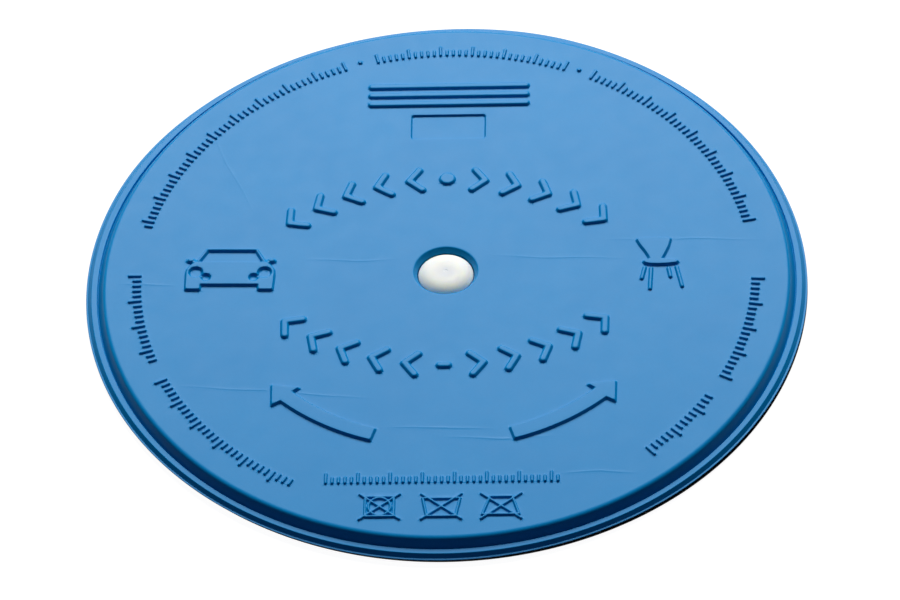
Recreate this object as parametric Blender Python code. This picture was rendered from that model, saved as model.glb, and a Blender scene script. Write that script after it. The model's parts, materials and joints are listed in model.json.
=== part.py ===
"""Swivel seat cushion: a moulded cushion disc that turns on a flat base disc about a central pivot.

Metres, +Z up. The origin lies on the floor under the swivel axis, and +Y points to the back of the seat,
where the sunk label panel is.
"""

from math import asin, atan2, ceil, cos, hypot, pi, radians, sin

import bmesh
import bpy
from mathutils import Matrix, Vector

MM = 0.001

# Clearances
LAYER_GAP = 0.3 * MM  # between layers that lie on each other
RUNNING_GAP = 0.3 * MM  # between the two glide sheets
FIT_GAP = 0.3 * MM  # round a piece that sits in another
BUSH_PLAY = 0.3 * MM  # between the turning bush and the still shank
HUB_PLAY = 0.6 * MM  # between the throat of the hub hole and the button's head

# Cushion disc
SEAT_DIAMETER = 380 * MM  # over the lip of the cover
SEAT_RISE = 6.2 * MM  # from the top of the lip to the seat face
COVER_WALL = 1.8 * MM
HUB_WALL = 1.5 * MM
HUB_MOUTH_RUN = 1.8 * MM  # the hub hole's sloping mouth, from its throat out to the seat face
HUB_MOUTH_DEPTH = 2.6 * MM
HUB_FLANGE_THICKNESS = 0.8 * MM  # inward flange at the foot of the hub wall, round the bush's flange

# Rim of the cover, from the seat face outwards
SIDE_WALL_RUN = 4.6 * MM
BEAD_INNER_RUN = 0.3 * MM
BEAD_WIDTH = 3.2 * MM
BEAD_OUTER_RUN = 1.7 * MM
LIP_WIDTH = 1.0 * MM
LIP_THICKNESS = 0.5 * MM
CREASE_HEIGHT = 0.8 * MM  # above the top of the lip, as the bead's height is
BEAD_HEIGHT = 1.9 * MM

# Glide sheets and mat
UPPER_SHEET_THICKNESS = 0.4 * MM
UPPER_SHEET_INSET = 1.5 * MM  # edge of the sheet behind the edge of the lip
LOWER_SHEET_THICKNESS = 0.4 * MM
LOWER_SHEET_INSET = 0.3 * MM  # edge of the sheet behind the nearest edge of the mat
MAT_THICKNESS = 0.9 * MM
MAT_INSET = 0.3 * MM  # least distance from the edge of the mat in to the edge of the lip
MAT_OFF_CENTRE = 0.9 * MM  # the mat is bonded a little off the swivel axis, towards +X
MAT_HOLE_MARGIN = 0.6 * MM

# Pivot
HEAD_RADIUS = 14.5 * MM
HEAD_SIDE_HEIGHT = 1.5 * MM
HEAD_EDGE = 0.4 * MM
DOME_HEIGHT = 4.5 * MM
SHANK_RADIUS = 6.0 * MM
SHANK_WALL = 2.1 * MM
SHANK_BORE_ROOF = 2.4 * MM  # material over the bore, under the top of the dome
SNAP_HEIGHT = 0.8 * MM
SNAP_REACH = 0.6 * MM
SNAP_DEPTH = 1.3 * MM  # from the top of the stem down to its snap ring
STEM_TIP_TAPER = 0.8 * MM
STEM_HOLLOW_RADIUS = 2.2 * MM
STEM_HOLLOW_ROOF = 2.0 * MM
SOCKET_FLANGE_RADIUS = 15.0 * MM
SOCKET_FLANGE_THICKNESS = 0.65 * MM
SOCKET_EDGE = 0.2 * MM
BUSH_WALL = 1.5 * MM
BUSH_FLANGE_INSET = 0.7 * MM  # edge of the bush's flange behind the edge of the washer
BUSH_FLANGE_THICKNESS = 0.8 * MM
WASHER_INSET = 0.9 * MM  # edge of the washer behind the edge of the head
WASHER_THICKNESS = 0.5 * MM

# Relief of the seat face
RELIEF_HEIGHT = 1.4 * MM
RELIEF_DRAFT = 0.8 * MM  # how far a figure's top edge lies inside its foot
RELIEF_ROOT = 0.6 * MM  # how far a figure's body reaches into the cover
STROKE_WIDTH = 3.8 * MM

# Two bows of chevrons, one above and one below the hub, pointing outwards from the middle
BOW_RADIUS = 126.4 * MM
BOW_CENTRE_OFFSET = 60 * MM  # the bow above the hub is struck from below it, and the other way round
CHEVRON_COUNT = 5  # on each side of a bow's middle
CHEVRON_FIRST = radians(7.5)
CHEVRON_PITCH = radians(8)
CHEVRON_HEIGHT = 18 * MM
CHEVRON_SWEEP = 8 * MM
STUD_RADIUS = 4.2 * MM  # in the middle of the upper bow
DASH_LENGTH = 8.0 * MM  # in the middle of the lower bow

# Grip ribs and label panel at the back of the seat
RIB_COUNT = 3
RIB_LENGTH = 88 * MM
RIB_PITCH = 6.7 * MM
RIB_CENTRE_Y = 130 * MM
LABEL_WIDTH = 40 * MM
LABEL_HEIGHT = 17.7 * MM
LABEL_CENTRE_Y = 106.3 * MM
LABEL_DEPTH = 1.1 * MM
LABEL_DRAFT = 0.3 * MM

# Turning arrows, concentric with the seat; angles from +X, for the right-hand arrow
ARROW_RADIUS = 118.5 * MM
ARROW_WIDTH = 9.2 * MM
ARROW_HEAD_WIDTH = 20.0 * MM
ARROW_TAIL_ANGLE = radians(-72.7)
ARROW_HEAD_ANGLE = radians(-47.2)
ARROW_TIP_ANGLE = radians(-41.7)

# Car figure: its own points are from its centre, on the seat's left side
CAR_CENTRE = (-113.6 * MM, 0.0)
CAR_HALF_WIDTH = 23.5 * MM
CAR_WHEEL_WIDTH = 8.7 * MM
CAR_WHEEL_BOTTOM = -13.6 * MM
CAR_SILL = -9.9 * MM
CAR_SHOULDER = 2.4 * MM
CAR_WAIST = 7.5 * MM
CAR_WAIST_HALF_WIDTH = 19.2 * MM
CAR_ROOF = 16.8 * MM
CAR_ROOF_HALF_WIDTH = 13.4 * MM
CAR_FRAME = 2.4 * MM  # roof and pillars round the windscreen
LAMP_RADIUS = 3.6 * MM
LAMP_PLACE = (18.1 * MM, 0.2 * MM)

# Chair figure: its own points are from the middle of its seat bar, on the seat's right side
CHAIR_CENTRE = (112.6 * MM, 2.8 * MM)
CHAIR_STROKE = 2.6 * MM
CHAIR_SEAT_HALF_LENGTH = 8.4 * MM
CHAIR_BACK_TOP = 17.2 * MM
CHAIR_BACK_HALF_WIDTH = 9.2 * MM
CHAIR_WAIST_HALF_WIDTH = 3.8 * MM
CHAIR_BACK_SHIFT = -2.8 * MM
CHAIR_LEGS = (  # top x, foot x, foot y
    (-7.6 * MM, -9.6 * MM, -10.6 * MM),
    (-4.6 * MM, -5.6 * MM, -18.2 * MM),
    (4.2 * MM, 5.2 * MM, -9.6 * MM),
    (8.2 * MM, 11.2 * MM, -16.6 * MM),
)

# Facets of the round pieces
COVER_SEGMENTS = 44
DISC_SEGMENTS = 96
PIVOT_SEGMENTS = 32
WALL_STEPS = 2
DOME_STEPS = 5
ARROW_STEP = radians(6.5)
STUD_SEGMENTS = 6

# Levels of the layers above the floor
MAT_TOP = MAT_THICKNESS
LOWER_SHEET_BOTTOM = MAT_TOP + LAYER_GAP
LOWER_SHEET_TOP = LOWER_SHEET_BOTTOM + LOWER_SHEET_THICKNESS
UPPER_SHEET_BOTTOM = LOWER_SHEET_TOP + RUNNING_GAP
UPPER_SHEET_TOP = UPPER_SHEET_BOTTOM + UPPER_SHEET_THICKNESS
COVER_BOTTOM = UPPER_SHEET_TOP + LAYER_GAP
LIP_TOP = COVER_BOTTOM + LIP_THICKNESS
SEAT_LEVEL = LIP_TOP + SEAT_RISE
CREASE_LEVEL = LIP_TOP + CREASE_HEIGHT
BEAD_LEVEL = LIP_TOP + BEAD_HEIGHT

# Radii that follow from the sizes above
LIP_RADIUS = SEAT_DIAMETER / 2
BEAD_FOOT_RADIUS = LIP_RADIUS - LIP_WIDTH
BEAD_OUTER_RADIUS = BEAD_FOOT_RADIUS - BEAD_OUTER_RUN
BEAD_INNER_RADIUS = BEAD_OUTER_RADIUS - BEAD_WIDTH
CREASE_RADIUS = BEAD_INNER_RADIUS - BEAD_INNER_RUN
SEAT_FACE_RADIUS = CREASE_RADIUS - SIDE_WALL_RUN
MAT_RADIUS = LIP_RADIUS - MAT_INSET - MAT_OFF_CENTRE
LOWER_SHEET_RADIUS = MAT_RADIUS - MAT_OFF_CENTRE - LOWER_SHEET_INSET
UPPER_SHEET_RADIUS = LIP_RADIUS - UPPER_SHEET_INSET
HUB_RADIUS = HEAD_RADIUS + HUB_PLAY
SHANK_HOLE_RADIUS = SHANK_RADIUS + FIT_GAP
BUSH_BORE_RADIUS = SHANK_RADIUS + BUSH_PLAY
BUSH_RADIUS = BUSH_BORE_RADIUS + BUSH_WALL
WASHER_RADIUS = HEAD_RADIUS - WASHER_INSET
BUSH_FLANGE_RADIUS = WASHER_RADIUS - BUSH_FLANGE_INSET
HUB_FLANGE_RADIUS = BUSH_FLANGE_RADIUS + FIT_GAP

# Levels of the pivot, which is stacked on the upper sheet
BUSH_TOP = COVER_BOTTOM + BUSH_FLANGE_THICKNESS
WASHER_BOTTOM = BUSH_TOP + LAYER_GAP
WASHER_TOP = WASHER_BOTTOM + WASHER_THICKNESS
HEAD_BOTTOM = WASHER_TOP + LAYER_GAP
HEAD_EDGE_LEVEL = HEAD_BOTTOM + HEAD_SIDE_HEIGHT
DOME_TOP = HEAD_EDGE_LEVEL + DOME_HEIGHT
SHANK_BOTTOM = LOWER_SHEET_BOTTOM
BORE_RADIUS = SHANK_RADIUS - SHANK_WALL
BORE_TOP = DOME_TOP - SHANK_BORE_ROOF
STEM_RADIUS = BORE_RADIUS - FIT_GAP
STEM_TOP = BORE_TOP - FIT_GAP
SNAP_TOP = STEM_TOP - SNAP_DEPTH
SNAP_BOTTOM = SNAP_TOP - SNAP_HEIGHT
FLANGE_TOP = SHANK_BOTTOM - LAYER_GAP
FLANGE_BOTTOM = FLANGE_TOP - SOCKET_FLANGE_THICKNESS


def linear(channel):
    """One channel of a display colour, 0 to 255, as the linear value that a shader takes."""
    value = channel / 255
    return value / 12.92 if value <= 0.04045 else ((value + 0.055) / 1.055) ** 2.4


def material(name, colour, roughness):
    made = bpy.data.materials.new(name)
    made.use_nodes = True
    shader = made.node_tree.nodes["Principled BSDF"]
    shader.inputs["Base Color"].default_value = (*map(linear, colour), 1)
    shader.inputs["Roughness"].default_value = roughness
    shader.inputs["Metallic"].default_value = 0
    return made


def add_object(name, bm, parent, shader, place=(0, 0, 0)):
    """A finished mesh as a named object under its body's empty, shaded smooth between its edges."""
    bmesh.ops.recalc_face_normals(bm, faces=bm.faces)
    mesh = bpy.data.meshes.new(name)
    bm.to_mesh(mesh)
    bm.free()
    mesh.shade_smooth()
    mesh.set_sharp_from_angle(angle=radians(35))
    mesh.materials.append(shader)
    made = bpy.data.objects.new(name, mesh)
    made.parent = parent
    made.location = place
    bpy.context.scene.collection.objects.link(made)
    return made


def add_empty(name):
    """The empty on the swivel axis that carries one body's pieces."""
    made = bpy.data.objects.new(name, None)
    bpy.context.scene.collection.objects.link(made)
    return made


def turned(profile, segments):
    """A closed body spun about Z from (radius, height) points; a profile that starts on the axis ends on it."""
    bm = bmesh.new()
    points = [bm.verts.new((radius, 0, height)) for radius, height in profile]
    edges = [bm.edges.new(pair) for pair in zip(points, points[1:])]
    if profile[0][0] > 0:
        edges.append(bm.edges.new((points[-1], points[0])))
    bmesh.ops.spin(
        bm,
        geom=points + edges,
        cent=(0, 0, 0),
        axis=(0, 0, 1),
        angle=2 * pi,
        steps=segments,
        use_merge=True,
    )
    bmesh.ops.remove_doubles(bm, verts=bm.verts, dist=0.001 * MM)
    return bm


def quarter_round(centre, run, rise, steps):
    """Points of an elliptical shoulder round its centre, from its top to its outer side."""
    turns = [step / steps * pi / 2 for step in range(steps + 1)]
    return [(centre[0] + run * sin(turn), centre[1] + rise * cos(turn)) for turn in turns]


def inset(outline, distance):
    """The outline, which runs counter-clockwise, moved in by a distance on every side."""
    moved = []
    for index, point in enumerate(outline):
        before = (point - outline[index - 1]).normalized()
        after = (outline[(index + 1) % len(outline)] - point).normalized()
        normals = Vector((-before.y, before.x)), Vector((-after.y, after.x))
        moved.append(point + (normals[0] + normals[1]) * distance / (1 + normals[0].dot(normals[1])))
    return moved


def placed(outline, centre, turn=0.0):
    """Outline points turned about their own origin and then moved to their place on the seat."""
    rotation = Matrix.Rotation(turn, 2)
    return [rotation @ Vector(point) + Vector(centre) for point in outline]


def add_prism(bm, foot, foot_level, top, top_level):
    """A closed body between two outlines with as many points each."""
    low = [bm.verts.new((*point, foot_level)) for point in foot]
    high = [bm.verts.new((*point, top_level)) for point in top]
    bm.faces.new(reversed(low))
    bm.faces.new(high)
    for index in range(len(low)):
        after = (index + 1) % len(low)
        bm.faces.new((low[index], low[after], high[after], high[index]))


def raise_figure(bm, outline, draft=RELIEF_DRAFT):
    top = inset(outline, draft)
    add_prism(bm, outline, SEAT_LEVEL - RELIEF_ROOT, top, SEAT_LEVEL + RELIEF_HEIGHT)


def bar(length, width):
    return [
        (-length / 2, -width / 2),
        (length / 2, -width / 2),
        (length / 2, width / 2),
        (-length / 2, width / 2),
    ]


def stroke(start, end, width):
    """A bar that reaches past the two points, the middles of the real stroke's round ends."""
    run = Vector(end) - Vector(start)
    middle = (Vector(start) + Vector(end)) / 2
    return placed(bar(run.length + width, width), middle, atan2(run.y, run.x))


def chevron(heading):
    """A chevron that points along +X or -X, with its outline counter-clockwise."""
    half = CHEVRON_HEIGHT / 2
    sweep = CHEVRON_SWEEP / 2
    across = STROKE_WIDTH / 2 * hypot(CHEVRON_SWEEP, half) / half
    outline = [
        (across - sweep, -half),
        (across + sweep, 0),
        (across - sweep, half),
        (-across - sweep, half),
        (sweep - across, 0),
        (-across - sweep, -half),
    ]
    return outline if heading > 0 else [(-x, -y) for x, y in outline]


def round_outline(centre, radius, segments):
    turns = [step / segments * 2 * pi for step in range(segments)]
    return [Vector(centre) + radius * Vector((cos(turn), sin(turn))) for turn in turns]


def add_bow(bm, side):
    """A bow of chevrons above the hub (side 1) or below it (side -1), read from the hub outwards."""
    centre = Vector((0, -side * BOW_CENTRE_OFFSET))
    for heading in (-1, 1):
        for index in range(CHEVRON_COUNT):
            lean = heading * (CHEVRON_FIRST + index * CHEVRON_PITCH)
            place = centre + BOW_RADIUS * Vector((sin(lean), side * cos(lean)))
            raise_figure(bm, placed(chevron(heading), place, -side * lean))


def bow_middle(side):
    return 0, side * (BOW_RADIUS - BOW_CENTRE_OFFSET)


def add_ribs(bm):
    for index in range(RIB_COUNT):
        y = RIB_CENTRE_Y + (index - (RIB_COUNT - 1) / 2) * RIB_PITCH
        raise_figure(bm, placed(bar(RIB_LENGTH, STROKE_WIDTH), (0, y)))


def arrow(side):
    """An arrow along an arc round the hub, pointing up at the right (side 1) or at the left (side -1)."""
    steps = ceil((ARROW_HEAD_ANGLE - ARROW_TAIL_ANGLE) / ARROW_STEP)
    angles = [
        ARROW_TAIL_ANGLE + step / steps * (ARROW_HEAD_ANGLE - ARROW_TAIL_ANGLE)
        for step in range(steps + 1)
    ]
    outer = [(ARROW_RADIUS + ARROW_WIDTH / 2, angle) for angle in angles]
    head = [
        (ARROW_RADIUS + ARROW_HEAD_WIDTH / 2, ARROW_HEAD_ANGLE),
        (ARROW_RADIUS, ARROW_TIP_ANGLE),
        (ARROW_RADIUS - ARROW_HEAD_WIDTH / 2, ARROW_HEAD_ANGLE),
    ]
    inner = [(ARROW_RADIUS - ARROW_WIDTH / 2, angle) for angle in reversed(angles)]
    points = [Vector((side * r * cos(angle), r * sin(angle))) for r, angle in outer + head + inner]
    return points if side > 0 else points[::-1]


def mirrored(half):
    """A closed outline from its right-hand half, which runs upwards."""
    return half + [(-x, y) for x, y in reversed(half)]


def car_body():
    return mirrored(
        [
            (CAR_HALF_WIDTH - CAR_WHEEL_WIDTH, CAR_SILL),
            (CAR_HALF_WIDTH - CAR_WHEEL_WIDTH, CAR_WHEEL_BOTTOM),
            (CAR_HALF_WIDTH, CAR_WHEEL_BOTTOM),
            (CAR_HALF_WIDTH, CAR_SHOULDER),
            (CAR_WAIST_HALF_WIDTH, CAR_WAIST),
            (CAR_ROOF_HALF_WIDTH, CAR_ROOF),
        ]
    )


def windscreen():
    return mirrored(
        [
            (CAR_WAIST_HALF_WIDTH - CAR_FRAME, CAR_WAIST),
            (CAR_ROOF_HALF_WIDTH - CAR_FRAME / 2, CAR_ROOF - CAR_FRAME),
        ]
    )


def add_chair(bm):
    back = mirrored(
        [(CHAIR_WAIST_HALF_WIDTH, 0), (CHAIR_BACK_HALF_WIDTH, CHAIR_BACK_TOP)]
    )
    middle = Vector(CHAIR_CENTRE)
    raise_figure(bm, placed([(x + CHAIR_BACK_SHIFT * y / CHAIR_BACK_TOP, y) for x, y in back], middle))
    seat = Vector((CHAIR_SEAT_HALF_LENGTH, 0))
    raise_figure(bm, stroke(middle - seat, middle + seat, CHAIR_STROKE))
    for top_x, foot_x, foot_y in CHAIR_LEGS:
        top = middle + Vector((top_x, 0))
        raise_figure(bm, stroke(top, middle + Vector((foot_x, foot_y)), CHAIR_STROKE))


def raised_figures():
    """Everything that stands up from the seat face, as closed bodies rooted in the cover."""
    bm = bmesh.new()
    for side in (1, -1):
        add_bow(bm, side)
        raise_figure(bm, arrow(side))
    raise_figure(bm, round_outline(bow_middle(1), STUD_RADIUS, STUD_SEGMENTS))
    raise_figure(bm, placed(bar(DASH_LENGTH, STROKE_WIDTH), bow_middle(-1)))
    add_ribs(bm)
    raise_figure(bm, placed(car_body(), CAR_CENTRE))
    add_chair(bm)
    return bm


def sunk_figures():
    """The label panel, and the windscreen and lamps that are sunk into the car figure."""
    bm = bmesh.new()
    above = SEAT_LEVEL + 2 * RELIEF_HEIGHT
    half_width = LABEL_WIDTH / 2
    half_height = LABEL_HEIGHT / 2
    panel = placed(
        [
            (-half_width, -half_height),
            (half_width, -half_height),
            (half_width, half_height),
            (-half_width, half_height),
        ],
        (0, LABEL_CENTRE_Y),
    )
    add_prism(bm, inset(panel, LABEL_DRAFT), SEAT_LEVEL - LABEL_DEPTH, panel, above)
    floor = SEAT_LEVEL + RELIEF_HEIGHT / 4
    glass = placed(windscreen(), CAR_CENTRE)
    add_prism(bm, inset(glass, RELIEF_DRAFT / 2), floor, glass, above)
    for side in (1, -1):
        place = Vector(CAR_CENTRE) + Vector((side * LAMP_PLACE[0], LAMP_PLACE[1]))
        lamp = round_outline(place, LAMP_RADIUS, STUD_SEGMENTS)
        add_prism(bm, inset(lamp, RELIEF_DRAFT / 2), floor, lamp, above)
    return bm


def add_boolean(target, name, helper, operation):
    helper.hide_render = True
    helper.display_type = "WIRE"
    modifier = target.modifiers.new(name, "BOOLEAN")
    modifier.operation = operation
    modifier.solver = "EXACT"
    modifier.use_self = operation == "UNION"
    modifier.object = helper


def seat_cover(seat, blue):
    shoulder = (SEAT_FACE_RADIUS, CREASE_LEVEL)
    rise = SEAT_LEVEL - CREASE_LEVEL
    outside = quarter_round(shoulder, SIDE_WALL_RUN, rise, WALL_STEPS)
    inside = quarter_round(shoulder, SIDE_WALL_RUN - COVER_WALL, rise - COVER_WALL, WALL_STEPS)
    profile = [
        (HUB_FLANGE_RADIUS, COVER_BOTTOM),
        (HUB_FLANGE_RADIUS, COVER_BOTTOM + HUB_FLANGE_THICKNESS),
        (HUB_RADIUS, COVER_BOTTOM + HUB_FLANGE_THICKNESS),
        (HUB_RADIUS, SEAT_LEVEL - HUB_MOUTH_DEPTH),
        (HUB_RADIUS + HUB_MOUTH_RUN, SEAT_LEVEL),
        *outside,
        (BEAD_INNER_RADIUS, BEAD_LEVEL),
        (BEAD_OUTER_RADIUS, BEAD_LEVEL),
        (BEAD_FOOT_RADIUS, LIP_TOP),
        (LIP_RADIUS, LIP_TOP),
        (LIP_RADIUS, COVER_BOTTOM),
        (inside[-1][0], COVER_BOTTOM),
        *reversed(inside),
        (HUB_RADIUS + HUB_WALL, inside[0][1]),
        (HUB_RADIUS + HUB_WALL, COVER_BOTTOM),
    ]
    cover = add_object("seat_cover", turned(profile, COVER_SEGMENTS), seat, blue)
    raised = add_object("raised_figures", raised_figures(), seat, blue)
    sunk = add_object("sunk_figures", sunk_figures(), seat, blue)
    add_boolean(cover, "raised figures", raised, "UNION")
    add_boolean(cover, "sunk figures", sunk, "DIFFERENCE")


def seat_foam(seat, foam):
    reach = COVER_WALL + FIT_GAP
    rise = SEAT_LEVEL - CREASE_LEVEL
    side = quarter_round(
        (SEAT_FACE_RADIUS, CREASE_LEVEL), SIDE_WALL_RUN - reach, rise - reach, WALL_STEPS
    )
    bore = HUB_RADIUS + HUB_WALL + FIT_GAP
    profile = [(bore, side[0][1]), *side, (side[-1][0], COVER_BOTTOM), (bore, COVER_BOTTOM)]
    add_object("seat_foam", turned(profile, COVER_SEGMENTS), seat, foam)


def flat_ring(name, parent, shader, outer, inner, bottom, thickness, segments, off_centre=0.0):
    profile = [(inner, thickness), (outer, thickness), (outer, 0), (inner, 0)]
    add_object(name, turned(profile, segments), parent, shader, (off_centre, 0, bottom))


def hub_bush(seat, plastic):
    barrel = COVER_BOTTOM - UPPER_SHEET_BOTTOM
    top = BUSH_TOP - UPPER_SHEET_BOTTOM
    profile = [
        (BUSH_BORE_RADIUS, top),
        (BUSH_FLANGE_RADIUS, top),
        (BUSH_FLANGE_RADIUS, barrel),
        (BUSH_RADIUS, barrel),
        (BUSH_RADIUS, 0),
        (BUSH_BORE_RADIUS, 0),
    ]
    bush = turned(profile, PIVOT_SEGMENTS)
    add_object("hub_bush", bush, seat, plastic, (0, 0, UPPER_SHEET_BOTTOM))


def dome_points():
    """The cap of a sphere, from its top down to the edge of the head."""
    sphere = (HEAD_RADIUS**2 + DOME_HEIGHT**2) / (2 * DOME_HEIGHT)
    reach = asin(HEAD_RADIUS / sphere)
    turns = [step / DOME_STEPS * reach for step in range(DOME_STEPS + 1)]
    return [(sphere * sin(turn), DOME_TOP - sphere * (1 - cos(turn))) for turn in turns]


def pivot_button(base, white):
    groove = BORE_RADIUS + SNAP_REACH
    profile = [
        *dome_points(),
        (HEAD_RADIUS, HEAD_BOTTOM + HEAD_EDGE),
        (HEAD_RADIUS - HEAD_EDGE, HEAD_BOTTOM),
        (SHANK_RADIUS, HEAD_BOTTOM),
        (SHANK_RADIUS, SHANK_BOTTOM),
        (BORE_RADIUS, SHANK_BOTTOM),
        (BORE_RADIUS, SNAP_BOTTOM - FIT_GAP),
        (groove, SNAP_BOTTOM - FIT_GAP),
        (groove, SNAP_TOP + FIT_GAP),
        (BORE_RADIUS, SNAP_TOP + FIT_GAP),
        (BORE_RADIUS, BORE_TOP),
        (0, BORE_TOP),
    ]
    add_object("pivot_button", turned(profile, PIVOT_SEGMENTS), base, white)


def pivot_socket(base, white):
    snap = STEM_RADIUS + SNAP_REACH
    profile = [
        (0, STEM_TOP),
        (STEM_RADIUS - STEM_TIP_TAPER, STEM_TOP),
        (STEM_RADIUS, STEM_TOP - STEM_TIP_TAPER),
        (STEM_RADIUS, SNAP_TOP),
        (snap, SNAP_BOTTOM + SNAP_HEIGHT / 2),
        (snap, SNAP_BOTTOM),
        (STEM_RADIUS, SNAP_BOTTOM),
        (STEM_RADIUS, FLANGE_TOP),
        (SOCKET_FLANGE_RADIUS, FLANGE_TOP),
        (SOCKET_FLANGE_RADIUS, FLANGE_BOTTOM + SOCKET_EDGE),
        (SOCKET_FLANGE_RADIUS - SOCKET_EDGE, FLANGE_BOTTOM),
        (STEM_HOLLOW_RADIUS, FLANGE_BOTTOM),
        (STEM_HOLLOW_RADIUS, STEM_TOP - STEM_HOLLOW_ROOF),
        (0, STEM_TOP - STEM_HOLLOW_ROOF),
    ]
    add_object("pivot_socket", turned(profile, PIVOT_SEGMENTS), base, white)


def clear_scene():
    for old in list(bpy.data.objects):
        bpy.data.objects.remove(old)


def build():
    clear_scene()
    blue = material("soft_blue", (89, 154, 207), 0.6)
    grey_foam = material("foam", (190, 190, 186), 0.9)
    sheet = material("glide_plastic", (214, 216, 214), 0.35)
    white = material("white_plastic", (240, 238, 226), 0.3)
    black = material("black_rubber", (24, 24, 24), 0.8)

    base = add_empty("base")
    flat_ring(
        "anti_slip_mat",
        base,
        black,
        outer=MAT_RADIUS,
        inner=SOCKET_FLANGE_RADIUS + MAT_OFF_CENTRE + MAT_HOLE_MARGIN,
        bottom=0,
        thickness=MAT_THICKNESS,
        segments=DISC_SEGMENTS,
        off_centre=MAT_OFF_CENTRE,
    )
    flat_ring(
        "lower_glide_sheet",
        base,
        sheet,
        outer=LOWER_SHEET_RADIUS,
        inner=SHANK_HOLE_RADIUS,
        bottom=LOWER_SHEET_BOTTOM,
        thickness=LOWER_SHEET_THICKNESS,
        segments=DISC_SEGMENTS,
    )
    pivot_button(base, white)
    pivot_socket(base, white)

    seat = add_empty("seat")
    flat_ring(
        "upper_glide_sheet",
        seat,
        sheet,
        outer=UPPER_SHEET_RADIUS,
        inner=BUSH_RADIUS + FIT_GAP,
        bottom=UPPER_SHEET_BOTTOM,
        thickness=UPPER_SHEET_THICKNESS,
        segments=DISC_SEGMENTS,
    )
    hub_bush(seat, white)
    flat_ring(
        "head_washer",
        seat,
        white,
        outer=WASHER_RADIUS,
        inner=BUSH_BORE_RADIUS,
        bottom=WASHER_BOTTOM,
        thickness=WASHER_THICKNESS,
        segments=PIVOT_SEGMENTS,
    )
    seat_foam(seat, grey_foam)
    seat_cover(seat, blue)


build()
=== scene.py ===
"""Looks of the swivel seat cushion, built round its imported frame.

Shapes are worked out in millimetres in the frame's own axes, and add_piece() turns them into metres.
+Y is the back of the seat, +X its right side.
"""

import json
from math import atan2, ceil, cos, pi, radians, sin, tan

import bmesh
import bpy
import numpy as np
from mathutils import Matrix, Vector
from mathutils.geometry import delaunay_2d_cdt


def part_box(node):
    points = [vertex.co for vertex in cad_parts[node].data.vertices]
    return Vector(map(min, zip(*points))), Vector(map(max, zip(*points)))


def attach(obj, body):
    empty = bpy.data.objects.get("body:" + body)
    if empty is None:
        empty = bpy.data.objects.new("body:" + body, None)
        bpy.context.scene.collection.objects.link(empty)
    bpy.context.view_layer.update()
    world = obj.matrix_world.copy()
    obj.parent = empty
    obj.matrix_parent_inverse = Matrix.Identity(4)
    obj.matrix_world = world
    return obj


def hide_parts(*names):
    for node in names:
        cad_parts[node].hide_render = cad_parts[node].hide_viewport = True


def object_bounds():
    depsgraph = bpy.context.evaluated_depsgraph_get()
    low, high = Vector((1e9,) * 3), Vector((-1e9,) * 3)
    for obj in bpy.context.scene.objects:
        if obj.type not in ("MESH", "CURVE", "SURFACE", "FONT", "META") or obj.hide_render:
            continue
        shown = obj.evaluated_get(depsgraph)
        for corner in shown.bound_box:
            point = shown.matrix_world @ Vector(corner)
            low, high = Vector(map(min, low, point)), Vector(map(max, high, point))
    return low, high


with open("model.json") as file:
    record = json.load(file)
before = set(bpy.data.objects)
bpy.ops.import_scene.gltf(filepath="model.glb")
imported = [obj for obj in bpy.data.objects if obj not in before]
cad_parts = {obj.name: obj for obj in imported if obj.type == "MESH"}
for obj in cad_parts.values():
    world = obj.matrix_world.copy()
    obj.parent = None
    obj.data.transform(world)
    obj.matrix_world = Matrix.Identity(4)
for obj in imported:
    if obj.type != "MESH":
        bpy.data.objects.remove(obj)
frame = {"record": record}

MM = 0.001
CAD_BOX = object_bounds()


def corner(node, end):
    """The lowest (0) or highest (1) corner of a CAD node, in millimetres."""
    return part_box(node)[end] / MM


def bottom_and_top(node):
    """The lowest and the highest level of a CAD node, in millimetres."""
    return corner(node, 0).z, corner(node, 1).z


# Levels and radii of the frame
SEAT_LEVEL = next(m["pos_m"][2] for m in frame["record"]["mounts"] if m["name"] == "seat_face") / MM
COVER_BOTTOM = corner("seat_cover", 0).z
LIP_RADIUS = corner("seat_cover", 1).x
MAT_LOW, MAT_HIGH = corner("anti_slip_mat", 0), corner("anti_slip_mat", 1)
MAT_CENTRE = (MAT_LOW.x + MAT_HIGH.x) / 2
MAT_RADIUS = MAT_HIGH.x - MAT_CENTRE
LOWER_SHEET_LEVELS = bottom_and_top("lower_glide_sheet")
LOWER_SHEET_RADIUS = corner("lower_glide_sheet", 1).x
UPPER_SHEET_LEVELS = bottom_and_top("upper_glide_sheet")
UPPER_SHEET_RADIUS = corner("upper_glide_sheet", 1).x
BUSH_BOTTOM, BUSH_TOP = bottom_and_top("hub_bush")
BUSH_FLANGE_RADIUS = corner("hub_bush", 1).x
WASHER_LEVELS = bottom_and_top("head_washer")
WASHER_RADIUS = corner("head_washer", 1).x
SHANK_BOTTOM, DOME_TOP = bottom_and_top("pivot_button")
HEAD_RADIUS = corner("pivot_button", 1).x
SOCKET_BOTTOM, STEM_TOP = bottom_and_top("pivot_socket")
SOCKET_RADIUS = corner("pivot_socket", 1).x
FOAM_TOP = corner("seat_foam", 1).z

# Clearances
FIT_GAP = 0.3
LAYER_GAP = 0.3

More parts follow.
